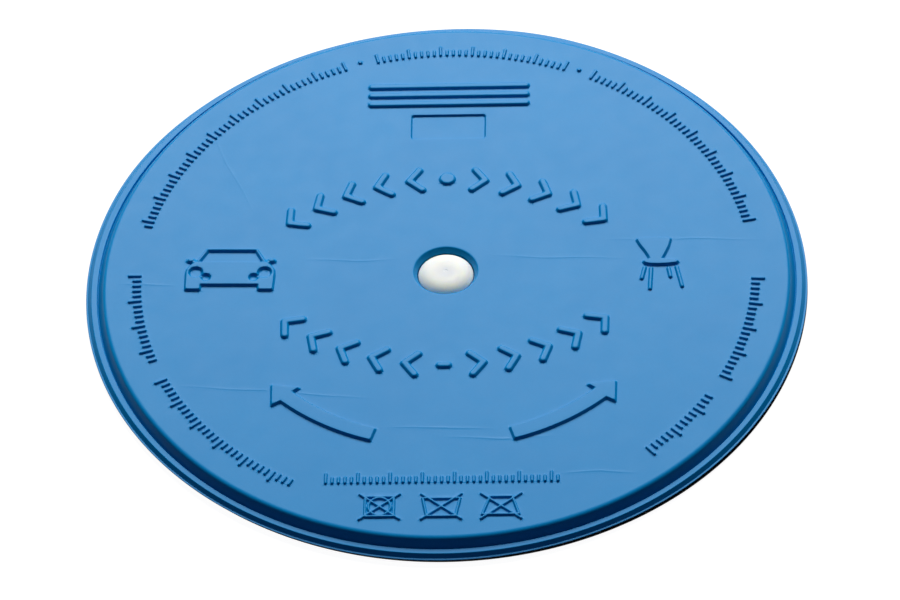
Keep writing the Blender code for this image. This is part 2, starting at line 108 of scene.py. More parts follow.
# Cover: walls, hub hole and rim, from the outer edge inwards
COVER_WALL = 1.8
HUB_WALL = 1.5
HUB_THROAT = 15.1
HUB_MOUTH = 16.9
HUB_MOUTH_DEPTH = 2.6
HUB_MOUTH_ROUND = 1.2
HUB_THROAT_ROUND = 0.6
LIP_WIDTH = 1.0
LIP_THICKNESS = 0.5
LIP_EDGE = 0.22
BEAD_OUTER_RUN = 1.9
BEAD_WIDTH = 3.0
BEAD_INNER_RUN = 0.3
BEAD_HEIGHT = 1.9
BEAD_INNER_ROUND = 0.4
BEAD_OUTER_ROUND = 0.6
BEAD_FOOT_ROUND = 0.25
CREASE_HEIGHT = 0.5
CREASE_ROUND = 0.15
WALL_SLOPE = radians(59)
SHOULDER_ROUND = 2.6
EDGE_BAND = 0.6
RIM_SEGMENTS = 384
HUB_SEGMENTS = 96
FOAM_SEGMENTS = 192
FOAM_TOP_ROUND = 0.5
FOAM_BOTTOM_ROUND = 0.3

# Figures of the seat face
STROKE = 3.8
BOW_RADIUS = 126.4
BOW_CENTRE_OFFSET = 60
CHEVRON_COUNT = 5
CHEVRON_FIRST = radians(7.5)
CHEVRON_PITCH = radians(8)
CHEVRON_HEIGHT = 18
CHEVRON_SWEEP = 8
STUD_RADIUS = 4.2
DASH_LENGTH = 8
RIB_LENGTH = 88
RIB_PITCH = 6.7
RIB_LEVELS = (-1, 0, 1)
RIB_CENTRE_Y = 130
LABEL_SIZE = (40, 17.7)
LABEL_CENTRE_Y = 106.3
LABEL_CORNER = 1.5
ARROW_RADIUS = 118.6
ARROW_WIDTH = 8.8
ARROW_HEAD_WIDTH = 19.6
ARROW_TAIL = radians(-72.7)
ARROW_HEAD = radians(-47.3)
ARROW_OUTER_BARB = radians(-46.6)
ARROW_INNER_BARB = radians(-47.95)
ARROW_TIP = radians(-41.6)
ARROW_STEPS = 24
ARROW_CORNER = 0.5

# Car figure, from its own centre; a mirror has x, y, radius and squash, and a lamp has x, y and radius
CAR_CENTRE = (-113.6, 0)
CAR_TURN = radians(-1.05)
CAR_HALF_BODY = (
    (15.1, -9.0), (15.1, -12.5), (23.2, -12.5), (23.6, -0.5), (23.2, 2.4),
    (21.9, 4.6), (19.2, 7.5),
)
CAR_CORNER = 0.9
CAR_WINDOW = ((-17.5, 7.7), (-13.0, 16.1), (13.0, 16.1), (17.5, 7.7))
CAR_WINDOW_LINE = 0.8
CAR_MIRROR = (21.3, 8.6, 2.2, 0.68)
LAMP = (18.15, -0.2, 3.5)
SMALL_LAMP = (12.6, -3.75, 2.35)

# Chair figure, in seat coordinates: one body for the back and the seat, and four lower legs
CHAIR_BACK = (
    (107.5, 3.0), (113.7, 3.0), (113.7, 5.8), (115.4, 9.4), (117.4, 14.4),
    (118.8, 20.3), (114.5, 20.6), (110.0, 20.9), (105.5, 20.6), (100.6, 20.1),
    (102.3, 16.0), (104.7, 11.9), (106.7, 7.8), (107.5, 5.4),
)
CHAIR_SEAT = (
    (103.8, 4.0), (104.7, 2.8), (107.5, 1.95), (112.2, 1.8), (117.2, 1.95),
    (121.5, 2.7), (122.4, 4.0), (121.3, 4.9), (115.0, 5.8), (106.5, 5.7),
    (104.8, 5.0),
)
CHAIR_CORNER = 0.5
CHAIR_GROWTH = 0.25
CHAIR_LEG_RADIUS = 0.9
CHAIR_LEGS = (
    ((104.6, 0.0), (102.9, -7.7)),
    ((107.95, -0.7), (107.1, -15.0)),
    ((117.05, -0.7), (118.0, -6.6)),
    ((121.4, 0.0), (123.9, -13.5)),
)

# Scale of raised ticks round the edge, and the straight one at the front
SCALE_RADIUS = 164
SCALE_SPANS = (
    (110.7, 167.7), (67.1, 104.1), (11.8, 61.3), (180.4, 201.9), (207.2, 242.0),
    (-28.0, -3.0), (-50.0, -33.5),
)
SCALE_DOTS = (107.5, 64.3)
TICK_PITCH = radians(1.25)
TICK_WIDTH = 1.4
TICK_LENGTH = 4.6
LONG_TICK_LENGTH = 7.2
LONG_TICK_EVERY = 5
DOT_RADIUS = 1.1
FRONT_SCALE_HALF = 58.5
FRONT_SCALE_Y = -141.5
FRONT_TICK_PITCH = 3.25

# Three small crossed figures at the front: their places, then their outlines from their own centres
SMALL_PLACES = ((-31, -160.3), (0, -160.5), (30, -160.5))
SMALL_STROKE = 1.25
CROSS_HALF = (10, 8)
SMALL_SQUARE = ((-7.2, -6.3), (7.2, -6.3), (7.2, 6.3), (-7.2, 6.3))
SMALL_BOWL = ((-7.2, -6.3), (7.2, -6.3), (9.4, 5.2), (-9.4, 5.2))
SMALL_HOOD = ((-9.4, -5.4), (9.0, -5.4), (5.6, 6.0), (-5.6, 6.0))
SMALL_CIRCLE_RADIUS = 5.6
SMALL_CIRCLE_SIDES = 24

# Faint folds of the skin, as lines across the seat face
FOLDS = (
    ((-132, 113), (-119, 80), (-102, 42)),
    ((-77, 9.4), (-45, 8), (-22, 8.9)),
    ((19, 10.9), (50, 8.8), (98, 7.4)),
    ((80, 20.6), (129, 20.8), (172, 19.5)),
    ((-141, -78), (-89, -82), (-32, -89)),
    ((-32, -108), (-1, -108), (29, -110)),
    ((-1, -114.7), (29, -116), (60, -115)),
    ((58, -140), (80, -138), (100, -139.5)),
    ((-174, -6.4), (-140, -7.8)),
)
FOLD_HEIGHT = 0.08
FOLD_SECTION = ((-0.9, 0), (-0.45, 0.55), (0, 1), (0.45, 0.55), (0.9, 0))
FOLD_STEP = 1.6
FOLD_CLEARANCE = 1.5
FOLD_SWAY = 0.35
FOLD_SWAY_LENGTH = 7.0

# The soft edge is not quite round. Each dent has its azimuth, its depth and half its width in degrees
EDGE_DENTS = ((96, 1.7, 26), (123, 2.1, 36), (235, 0.55, 48), (305, 0.6, 65), (18, 0.3, 24))
HUB_DENT = (-90, 0.45, 75)

# The wall above the bead is pressed in at the back left and drawn out at the back right, and the seat
# face follows it from WALL_DENT_START on
WALL_DENTS = ((145, 0.95, 48), (60, -1.2, 45))
WALL_DENT_START = 150

# Slight waves of the skin: heights, millimetres to a radian along X and Y, and starting angles
BROAD_WAVE = (0.02, (31, 0.7), (23, 1.1))
SLANTED_WAVES = ((0.012, 17, 29, 2.0), (0.006, 11, -13, 0.0))
RIM_FADE = 12
HUB_FADE = 8

# Sections of figures: distance outside the outline against height over the seat face
FLAT_SECTION = (
    (0.62, 0), (0.5, 0.08), (0.38, 0.25), (-0.38, 1.24), (-0.48, 1.38),
    (-0.6, 1.46), (-0.74, 1.5),
)
ROUND_SECTION = (
    (0.55, 0), (0.42, 0.09), (0.3, 0.25), (-0.3, 1.02), (-0.45, 1.18),
    (-0.66, 1.31), (-0.92, 1.38), (-1.2, 1.4),
)
LEG_SECTION = (
    (0.42, 0), (0.3, 0.1), (0.18, 0.28), (-0.2, 0.8), (-0.36, 0.97),
    (-0.56, 1.07), (-0.78, 1.1),
)
LOW_SECTION = ((0.35, 0), (0.18, 0.12), (-0.12, 0.7), (-0.25, 0.9), (-0.45, 1.0))
SUNK_SECTION = ((0.5, 0), (0.32, -0.08), (0.18, -0.28), (-0.2, -0.85), (-0.36, -1.02), (-0.6, -1.1))

# Fineness of the mesh; FIELD_MARGIN is in samples, SHORTEST_LOOP in points
FIELD_PITCH = 0.25
FINE_PITCH = 0.15
FIELD_MARGIN = 4
BOX_MARGIN = 1
SOFT_PASSES = 4
SHORTEST_LOOP = 8
OUTLINE_TOLERANCE = 0.015
LONGEST_EDGE = 2.2
MERGE_DISTANCE = 1e-5
GRID_PITCH = 2.2
GRID_CLEARANCE = 0.8
ARC_STEP = radians(15)
SHARP_ANGLE = radians(40)


# Distance fields of plane figures: negative inside, and each takes points as an (n, 2) array
def segment(start, end, radius):
    start = np.array(start, float)
    run = np.array(end, float) - start

    def field(points):
        along = np.clip((points - start) @ run / (run @ run), 0, 1)
        return np.linalg.norm(points - start - along[:, None] * run, axis=1) - radius

    return field


def disc(centre, radius, squash=1.0):
    """A round figure, or an oval one whose height is squash times its width."""

    def field(points):
        x, y = (points - np.array(centre, float)).T
        return (np.hypot(x, y / squash) - radius) * min(1.0, squash)

    return field


def polygon(corners):
    corners = np.array(corners, float)
    edge = polyline(corners, 0, closed=True)

    def field(points):
        inside = np.zeros(len(points), bool)
        for a, b in zip(corners, np.roll(corners, -1, 0)):
            if a[1] != b[1]:
                spans = (a[1] > points[:, 1]) != (b[1] > points[:, 1])
                crossing = a[0] + (points[:, 1] - a[1]) / (b[1] - a[1]) * (b[0] - a[0])
                inside ^= spans & (points[:, 0] < crossing)
        nearest = edge(points)
        return np.where(inside, -nearest, nearest)

    return field


def union(*fields):
    return lambda points: np.minimum.reduce([field(points) for field in fields])


def carve(body, *holes):
    return lambda points: np.maximum.reduce([body(points), *(-hole(points) for hole in holes)])


def grown(field, distance):
    return lambda points: field(points) - distance


def polyline(points, radius, closed=False):
    ends = list(points[1:]) + ([points[0]] if closed else [])
    return union(*(segment(a, b, radius) for a, b in zip(points, ends)))


def normals(runs):
    """Unit vectors to the left of the runs."""
    runs = runs / np.linalg.norm(runs, axis=1)[:, None]
    return np.stack([-runs[:, 1], runs[:, 0]], 1)


def inset(corners, distance):
    """The corners, counter-clockwise, moved in by a distance on every side."""
    corners = np.array(corners, float)
    before = normals(corners - np.roll(corners, 1, 0))
    after = normals(np.roll(corners, -1, 0) - corners)
    lean = 1 + (before * after).sum(1)
    return corners + (before + after) * distance / lean[:, None]


def rounded_polygon(corners, radius):
    return grown(polygon(inset(corners, radius)), radius)


# Outlines of a field
def soften(values, passes):
    """Rounds a sampled field, as a mould's corners are rounded."""
    for _ in range(passes):
        for axis in (0, 1):
            values = (np.roll(values, 1, axis) + 2 * values + np.roll(values, -1, axis)) / 4
    return values


def linked(pairs):
    """Closed chains of the numbers in the pairs, each of which is in two pairs."""
    beside = {}
    for a, b in pairs:
        beside.setdefault(a, []).append(b)
        beside.setdefault(b, []).append(a)
    chains = []
    while beside:
        first = next(iter(beside))
        chain = [first]
        last, here = first, beside.pop(first)[0]
        while here != first:
            chain.append(here)
            a, b = beside.pop(here)
            last, here = here, b if a == last else a
        chains.append(chain)
    return chains


def loops(values, xs, ys):
    """Closed lines along which the sampled values pass through nought."""
    rows, columns = values.shape
    number = np.arange(rows * columns).reshape(rows, columns)
    places = {}
    cut = []
    for kind, (up, along) in enumerate(((0, 1), (1, 0), (1, 1))):
        low = values[: rows - up, : columns - along]
        high = values[up:, along:]
        cut.append((low < 0) != (high < 0))
        j, i = np.nonzero(cut[kind])
        share = low[j, i] / (low[j, i] - high[j, i])
        x = xs[i] + share * along * (xs[1] - xs[0])
        y = ys[j] + share * up * (ys[1] - ys[0])
        keys = number[j, i] * 3 + kind
        places.update(zip(keys.tolist(), zip(x.tolist(), y.tolist())))
    flat, upright, slant = cut
    corner_numbers = number[:-1, :-1]
    triangles = (
        (flat[:-1], upright[:, 1:], slant, corner_numbers * 3, number[:-1, 1:] * 3 + 1),
        (flat[1:], upright[:, :-1], slant, number[1:, :-1] * 3, corner_numbers * 3 + 1),
    )
    pairs = []
    for first, second, third, first_key, second_key in triangles:
        keys = np.stack([first_key, second_key, corner_numbers * 3 + 2], -1)
        hits = np.stack([first, second, third], -1)
        used = hits.any(-1)
        pairs += keys[used][hits[used]].reshape(-1, 2).tolist()
    return [np.array([places[key] for key in chain]) for chain in linked(pairs)]


def thinned(loop, tolerance):
    """The closed loop without the points that its shape doesn't need."""
    far = int(np.argmax(np.linalg.norm(loop - loop[0], axis=1)))
    closed = np.vstack([loop, loop[:1]])
    kept = {0, far}
    spans = [(0, far), (far, len(loop))]
    while spans:
        start, end = spans.pop()
        if end - start < 2:
            continue
        run = closed[end] - closed[start]
        between = closed[start + 1 : end] - closed[start]
        away = np.abs(between[:, 0] * run[1] - between[:, 1] * run[0]) / np.linalg.norm(run)
        worst = int(np.argmax(away))
        if away[worst] > tolerance:
            middle = start + 1 + worst
            kept.add(middle)
            spans += [(start, middle), (middle, end)]
    return loop[sorted(kept)]


def divided(loop, longest):
    """The closed loop with its long edges divided."""
    points = []
    for a, b in zip(loop, np.roll(loop, -1, 0)):
        parts = ceil(np.linalg.norm(b - a) / longest)
        points += [a + (b - a) * part / parts for part in range(parts)]
    return np.array(points)


class Figure:
    """A raised or sunk figure: its field, its box and its outlines, one for each point of its section."""

    def __init__(
        self, field, low, high, section, pitch=FIELD_PITCH, passes=SOFT_PASSES, longest=LONGEST_EDGE
    ):
        self.field = field
        self.section = section
        margin = section[0][0] + FIELD_MARGIN * pitch
        self.low = np.array(low, float) - margin
        self.high = np.array(high, float) + margin
        xs = np.arange(self.low[0], self.high[0], pitch)
        ys = np.arange(self.low[1], self.high[1], pitch)
        across, up = np.meshgrid(xs, ys)
        sampled = field(np.stack([across.ravel(), up.ravel()], 1)).reshape(across.shape)
        sampled = soften(sampled, passes)
        self.outlines = []
        for distance, height in section:
            for loop in loops(sampled - distance, xs, ys):
                if len(loop) > SHORTEST_LOOP:
                    loop = divided(thinned(loop, OUTLINE_TOLERANCE), longest)
                    self.outlines.append((loop, height))


class SeatFace:
    """The points, heights and fixed edges from which the cover's upper face is meshed."""

    def __init__(self, outer, inner):
        reach = outer - GRID_PITCH / 2
        row = GRID_PITCH * sin(pi / 3)
        ys = np.arange(-reach, reach, row)
        xs = np.arange(-reach, reach, GRID_PITCH)
        across, up = np.meshgrid(xs, ys)
        across = across + (np.arange(len(ys)) % 2)[:, None] * GRID_PITCH / 2
        grid = np.stack([across.ravel(), up.ravel()], 1)
        away = np.hypot(*grid.T)
        self.grid = grid[(away < reach) & (away > inner + GRID_PITCH / 2)]
        self.grid_height = np.zeros(len(self.grid))
        self.points = []
        self.heights = []
        self.edges = []

    def add_fold(self, line):
        """A faint raised fold, as rows of grid points along the line."""
        line = np.array(line, float)
        travelled = np.concatenate([[0], np.cumsum(np.hypot(*np.diff(line, axis=0).T))])
        along = np.arange(0, travelled[-1], FOLD_STEP)
        spots = np.stack([np.interp(along, travelled, values) for values in line.T], 1)
        aside = normals(np.gradient(spots, axis=0))
        spots += aside * (FOLD_SWAY * np.sin(along / FOLD_SWAY_LENGTH))[:, None]
        kept = np.linalg.norm(self.grid[:, None] - spots, axis=2).min(1) > FOLD_CLEARANCE
        rows = [spots + offset * aside for offset, _ in FOLD_SECTION]
        height = FOLD_HEIGHT * np.sin(pi * along / along[-1])
        heights = [share * height for _, share in FOLD_SECTION]
        self.grid = np.vstack([self.grid[kept], *rows])
        self.grid_height = np.concatenate([self.grid_height[kept], *heights])

    def add_folds(self, lines):
        """All the folds; they come before the figures, because they change the grid."""
        for line in lines:
            self.add_fold(line)
        self.free = np.ones(len(self.grid), bool)

    def add_loop(self, loop, height):
        first = len(self.points)
        self.points += loop.tolist()
        self.heights += [height] * len(loop)
        numbers = range(first, first + len(loop))
        self.edges += list(zip(numbers, [*numbers[1:], first]))

    def add(self, figure, place=(0, 0), turn=0.0):
        rotation = np.array([[cos(turn), sin(turn)], [-sin(turn), cos(turn)]])
        for loop, height in figure.outlines:
            self.add_loop(loop @ rotation + np.array(place), height)
        own = (self.grid - np.array(place)) @ rotation.T
        near = ((own > figure.low) & (own < figure.high)).all(1)
        distance = figure.field(own[near])
        outermost, innermost = figure.section[0][0], figure.section[-1][0]
        inside = distance < innermost - GRID_CLEARANCE
        self.grid_height[np.flatnonzero(near)[inside]] = figure.section[-1][1]
        self.free[near] &= inside | (distance > outermost + GRID_CLEARANCE)

    def mesh(self):
        """All points in space, the triangles between them, and the new number of each fixed point."""
        points = np.vstack([np.array(self.points), self.grid[self.free]])
        heights = np.concatenate([self.heights, self.grid_height[self.free]])
        flat, _, faces, sources, _, _ = delaunay_2d_cdt(
            [Vector(point) for point in points], self.edges, [], 0, MERGE_DISTANCE
        )
        if not all(sources):
            raise ValueError("two outlines on the seat face cross")
        first = np.array([source[0] for source in sources])
        number = {old: new for new, source in enumerate(sources) for old in source}
        return points[first], heights[first], faces, number


# Profiles: (radius, height) points, with round corners written as a third value
def rounded(corners, closed=True):
    """The corners as points, each corner that has a third value rounded by an arc of that radius."""
    points = []
    count = len(corners)
    for index, (x, y, *radius) in enumerate(corners):
        here = Vector((x, y))
        at_end = not closed and index in (0, count - 1)
        if at_end or not radius:
            points.append(tuple(here))
            continue
        before = (Vector(corners[index - 1][:2]) - here).normalized()
        after = (Vector(corners[(index + 1) % count][:2]) - here).normalized()
        turn = pi - before.angle(after)
        reach = radius[0] * tan(turn / 2)
        centre = here + (before + after).normalized() * (radius[0] / cos(turn / 2))
        start = here + before * reach - centre
        side = 1 if before.cross(after) < 0 else -1
        steps = max(2, ceil(turn / ARC_STEP))
        for step in range(steps + 1):
            lean = side * turn * step / steps
            c, s = cos(lean), sin(lean)
            x, y = centre.x + start.x * c - start.y * s, centre.y + start.x * s + start.y * c
            points.append((x, y))
    return points


def ring(radius, count):
    turns = np.arange(count) / count * 2 * pi
    return np.stack([radius * np.cos(turns), radius * np.sin(turns)], 1)


class Shell:
    """Vertices and faces of one closed body."""

    def __init__(self):
        self.vertices = []
        self.faces = []

    def add_ring(self, radius, height, count, x=0.0, y=0.0):
        """A ring of vertices, or one vertex where the radius is nought."""
        first = len(self.vertices)
        around = ring(radius, count) if radius > 0 else np.zeros((1, 2))
        self.vertices += [(x + along, y + up, height) for along, up in around]
        return list(range(first, len(self.vertices)))

    def bridge(self, a, b):
        """Faces between two rings, or between a ring and a single vertex."""
        for index in range(max(len(a), len(b))):
            after = index + 1
            corners = a[index % len(a)], b[index % len(b)], b[after % len(b)], a[after % len(a)]
            self.faces.append(tuple(dict.fromkeys(corners)))

    def turn(self, profile, count, start):
        """Rows of faces from the ring given as the start along the profile, and the ring at its end."""
        last = start
        for radius, height in profile:
            row = self.add_ring(radius, height, count)
            self.bridge(last, row)
            last = row
        return last

    def fill(self, outer, inner, *islands):
        """Triangles between an outer and an inner ring of vertices, and round the islands there."""
        spots = []
        edges = []
        for rim in (outer, inner, *islands):
            first, size = len(spots), len(rim)
            spots += rim
            edges += [(first + i, first + (i + 1) % size) for i in range(size)]
        flat = [Vector(self.vertices[n][:2]) for n in spots]
        _, _, faces, sources, _, _ = delaunay_2d_cdt(flat, edges, [], 0, MERGE_DISTANCE)
        hole = set(inner)
        for face in faces:
            numbers = [spots[sources[n][0]] for n in face]
            if not set(numbers) <= hole:
                self.faces.append(numbers)


def new_object(name, data):
    item = bpy.data.objects.new(name, data)
    bpy.context.scene.collection.objects.link(item)
    return item


def add_piece(name, shell, material, body, node):
    """The shell as a shown piece that rides on a body and stands for a CAD node."""
    mesh = bpy.data.meshes.new(name)
    mesh.from_pydata([(x * MM, y * MM, z * MM) for x, y, z in shell.vertices], [], shell.faces)
    bm = bmesh.new()
    bm.from_mesh(mesh)
    bmesh.ops.recalc_face_normals(bm, faces=bm.faces)
    bm.to_mesh(mesh)
    bm.free()
    mesh.shade_smooth()
    mesh.set_sharp_from_angle(angle=SHARP_ANGLE)
    mesh.materials.append(material)
    piece = new_object(name, mesh)
    shading = piece.modifiers.new("even_shading", "WEIGHTED_NORMAL")
    shading.keep_sharp = True
    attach(piece, body)
    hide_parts(node)
    return piece


def turned_piece(name, corners, count, material, body, node):
    """A piece turned from a section, which is open where it starts on the axis and closed elsewhere."""
    shell = Shell()
    on_axis = corners[0][0] == 0
    profile = rounded(corners, closed=not on_axis)
    first = shell.add_ring(*profile[0], count)
    last = shell.turn(profile[1:], count, start=first)
    if not on_axis:
        shell.bridge(last, first)
    return add_piece(name, shell, material, body, node)


# Figures
def centred(field, x, y, section, **options):
    """A figure that reaches as far as x and y to both sides of its centre."""
    return Figure(field, (-x, -y), (x, y), section, **options)


def chevron():
    end_y = (CHEVRON_HEIGHT - STROKE) / 2
    tip_x = CHEVRON_SWEEP / 2
    end_x = tip_x - CHEVRON_SWEEP * end_y / (CHEVRON_HEIGHT / 2)
    points = ((end_x, -end_y), (tip_x, 0), (end_x, end_y))
    field = polyline(points, STROKE / 2)
    return centred(field, tip_x + STROKE, CHEVRON_HEIGHT / 2, ROUND_SECTION)


def bar(length, width, section, **options):
    reach = (length - width) / 2
    field = segment((-reach, 0), (reach, 0), width / 2)
    return centred(field, length / 2, width / 2, section, **options)


def stud(radius, section, **options):
    return centred(disc((0, 0), radius), radius, radius, section, **options)


def arrow():
    """The right-hand arrow, along an arc round the hub."""
    sweep = ARROW_HEAD - ARROW_TAIL
    angles = [ARROW_TAIL + sweep * step / ARROW_STEPS for step in range(ARROW_STEPS + 1)]
    spots = [(ARROW_RADIUS + ARROW_WIDTH / 2, angle) for angle in angles]
    spots += [(ARROW_RADIUS + ARROW_HEAD_WIDTH / 2, ARROW_OUTER_BARB), (ARROW_RADIUS, ARROW_TIP)]
    spots += [(ARROW_RADIUS - ARROW_HEAD_WIDTH / 2, ARROW_INNER_BARB)]
    spots += [(ARROW_RADIUS - ARROW_WIDTH / 2, angle) for angle in reversed(angles)]
    corners = np.array([(r * cos(angle), r * sin(angle)) for r, angle in spots])
    field = rounded_polygon(corners, ARROW_CORNER)
    return Figure(field, corners.min(0), corners.max(0), FLAT_SECTION)


def mirrored(field):
    return lambda points: field(points * np.array([-1, 1]))


def car():
    outline = [*CAR_HALF_BODY, *((-x, y) for x, y in reversed(CAR_HALF_BODY))]
    parts = [rounded_polygon(outline, CAR_CORNER), polyline(CAR_WINDOW, CAR_WINDOW_LINE)]
    mirror_x, mirror_y, mirror_radius, squash = CAR_MIRROR
    lamps = []
    for side in (-1, 1):
        parts.append(disc((side * mirror_x, mirror_y), mirror_radius, squash))
        for x, y, radius in (LAMP, SMALL_LAMP):
            lamps.append(disc((side * x, y), radius))
    field = carve(union(*parts), *lamps)
    reach = mirror_x + mirror_radius + BOX_MARGIN
    low = min(y for _, y in CAR_HALF_BODY)
    high = max(y for _, y in CAR_WINDOW) + CAR_WINDOW_LINE
    return Figure(field, (-reach, low), (reach, high), FLAT_SECTION, passes=2)


def chair():
    """The chair's back and seat as one figure, and its legs, which are lower, as four more."""
    body = union(*(rounded_polygon(outline, CHAIR_CORNER) for outline in (CHAIR_BACK, CHAIR_SEAT)))
    field = grown(body, CHAIR_GROWTH)
    corners = np.array(CHAIR_BACK + CHAIR_SEAT)
    yield Figure(field, corners.min(0), corners.max(0), FLAT_SECTION, passes=1)
    for ends in CHAIR_LEGS:
        low = np.min(ends, 0) - CHAIR_LEG_RADIUS
        high = np.max(ends, 0) + CHAIR_LEG_RADIUS
        leg = segment(*ends, CHAIR_LEG_RADIUS)
        yield Figure(leg, low, high, LEG_SECTION, pitch=FINE_PITCH, passes=1)


def label_panel():
    x, y = LABEL_SIZE[0] / 2, LABEL_SIZE[1] / 2
    field = rounded_polygon(((-x, -y), (x, -y), (x, y), (-x, y)), LABEL_CORNER)
    return centred(field, x, y, SUNK_SECTION, passes=1)


def crossed(outline, *extra):
    """A small outlined figure with a cross over it."""
    x, y = CROSS_HALF
    radius = SMALL_STROKE / 2
    cross = segment((-x, -y), (x, y), radius), segment((-x, y), (x, -y), radius)
    field = union(*cross, polyline(outline, radius, closed=True), *extra)
    x, y = x + BOX_MARGIN, y + BOX_MARGIN
    return centred(field, x, y, LOW_SECTION, pitch=FINE_PITCH, passes=1)


def small_figures():
    """The crossed figures from left to right, the first with a circle in its square."""
    corners = ring(SMALL_CIRCLE_RADIUS, SMALL_CIRCLE_SIDES)
    circle = polyline(corners, SMALL_STROKE / 2, closed=True)
    return crossed(SMALL_SQUARE, circle), crossed(SMALL_BOWL), crossed(SMALL_HOOD)


def add_scales(face):
    """Raised ticks along the spans of the ring and along the straight line at the front."""
    options = {"pitch": FINE_PITCH, "passes": 0, "longest": 2 * LONGEST_EDGE}
    short = bar(TICK_LENGTH, TICK_WIDTH, LOW_SECTION, **options)
    long = bar(LONG_TICK_LENGTH, TICK_WIDTH, LOW_SECTION, **options)
    setback = (LONG_TICK_LENGTH - TICK_LENGTH) / 2

    def ticks(count):
        """The index of each tick on a line, its figure and how far it is set back."""
        for index in range(count + 1):
            if index % LONG_TICK_EVERY:
                yield index, short, setback
            else:
                yield index, long, 0

    for start, end in np.radians(SCALE_SPANS):
        count = round((end - start) / TICK_PITCH)
        for index, tick, back in ticks(count):
            angle = start + (end - start) * index / count
            radius = SCALE_RADIUS - back
            face.add(tick, (radius * cos(angle), radius * sin(angle)), angle)
    dot = stud(DOT_RADIUS, LOW_SECTION, pitch=FINE_PITCH, passes=0)
    for angle in map(radians, SCALE_DOTS):
        face.add(dot, (SCALE_RADIUS * cos(angle), SCALE_RADIUS * sin(angle)))
    count = round(2 * FRONT_SCALE_HALF / FRONT_TICK_PITCH)
    for index, tick, back in ticks(count):
        x = FRONT_SCALE_HALF * (2 * index / count - 1)
        face.add(tick, (x, FRONT_SCALE_Y - back), pi / 2)


def add_bows(face):
    one = chevron()
    for side in (1, -1):
        centre = np.array((0, -side * BOW_CENTRE_OFFSET))
        for heading in (-1, 1):
            for index in range(CHEVRON_COUNT):
                lean = heading * (CHEVRON_FIRST + index * CHEVRON_PITCH)
                place = centre + BOW_RADIUS * np.array((sin(lean), side * cos(lean)))
                face.add(one, place, -side * lean + (pi if heading < 0 else 0))
    middle = BOW_RADIUS - BOW_CENTRE_OFFSET
    face.add(stud(STUD_RADIUS, ROUND_SECTION), (0, middle))
    face.add(bar(DASH_LENGTH, STROKE, ROUND_SECTION), (0, -middle))


def add_figures(face):
    face.add_folds(FOLDS)
    add_bows(face)
    rib = bar(RIB_LENGTH, STROKE, ROUND_SECTION)
    for step in RIB_LEVELS:
        face.add(rib, (0, RIB_CENTRE_Y + step * RIB_PITCH))
    face.add(label_panel(), (0, LABEL_CENTRE_Y))
    right = arrow()
    face.add(right)
    low, high = (-right.high[0], right.low[1]), (-right.low[0], right.high[1])
    face.add(Figure(mirrored(right.field), low, high, FLAT_SECTION))
    face.add(car(), CAR_CENTRE, CAR_TURN)
    for figure in chair():
        face.add(figure)
    for figure, place in zip(small_figures(), SMALL_PLACES):
        face.add(figure, place)
    add_scales(face)


def skin(points):
    """The slight unevenness of the moulded skin, which dies out at the edges of the seat face."""
    x, y = points.T
    height, (length_x, start_x), (length_y, start_y) = BROAD_WAVE
    waves = height * np.sin(x / length_x + start_x) * np.sin(y / length_y + start_y)
    for height, length_x, length_y, start in SLANTED_WAVES:
        waves = waves + height * np.sin(x / length_x + y / length_y + start)
    away = np.hypot(x, y)
    outer_fade = np.clip((SEAT_EDGE - away) / RIM_FADE, 0, 1)
    return waves * (outer_fade * np.clip((away - HUB_EDGE) / HUB_FADE, 0, 1))


# Rim, from the lip inwards
BEAD_FOOT = LIP_RADIUS - LIP_WIDTH
BEAD_OUTER = BEAD_FOOT - BEAD_OUTER_RUN
BEAD_INNER = BEAD_OUTER - BEAD_WIDTH
CREASE = BEAD_INNER - BEAD_INNER_RUN
LIP_TOP = COVER_BOTTOM + LIP_THICKNESS
CREASE_LEVEL = LIP_TOP + CREASE_HEIGHT
BEAD_LEVEL = LIP_TOP + BEAD_HEIGHT
SHOULDER = CREASE - (SEAT_LEVEL - CREASE_LEVEL) / tan(WALL_SLOPE)
SEAT_EDGE = SHOULDER - SHOULDER_ROUND * tan(WALL_SLOPE / 2)
CEILING = SEAT_LEVEL - COVER_WALL
INNER_WALL = CREASE - COVER_WALL
INNER_SHOULDER = SHOULDER - COVER_WALL / 2

# Edge of the seat face round the mouth of the hub hole
MOUTH_SLOPE = atan2(HUB_MOUTH_DEPTH, HUB_MOUTH - HUB_THROAT)
HUB_EDGE = HUB_MOUTH + HUB_MOUTH_ROUND * tan(MOUTH_SLOPE / 2)
HUB_BAND = 3.0


def dent(azimuth, middle, deepest, half_width):
    aside = np.abs((azimuth - middle + 180) % 360 - 180)
    return deepest * np.cos(pi / 2 * np.clip(aside / half_width, 0, 1)) ** 2


def dented(vertices):
    """The vertices with the dents of the lip and of the wall, and with a slightly narrower hub mouth."""
    away = np.hypot(vertices[:, 0], vertices[:, 1])
    azimuth = np.degrees(np.arctan2(vertices[:, 1], vertices[:, 0]))
    share = np.clip((away - CREASE) / (LIP_RADIUS - CREASE), 0, 1)
    inwards = sum(dent(azimuth, *sizes) for sizes in EDGE_DENTS) * share * share * (3 - 2 * share)
    rising = np.clip((away - WALL_DENT_START) / (SEAT_EDGE - WALL_DENT_START), 0, 1) ** 2
    inwards += sum(dent(azimuth, *sizes) for sizes in WALL_DENTS) * rising * (1 - share)
    mouth = np.clip((away - HUB_THROAT) / (HUB_MOUTH - HUB_THROAT), 0, 1)
    inwards += dent(azimuth, *HUB_DENT) * mouth * np.clip((HUB_EDGE + HUB_BAND - away) / HUB_BAND, 0, 1)
    vertices[:, :2] *= 1 - (inwards / away)[:, None]
    return vertices


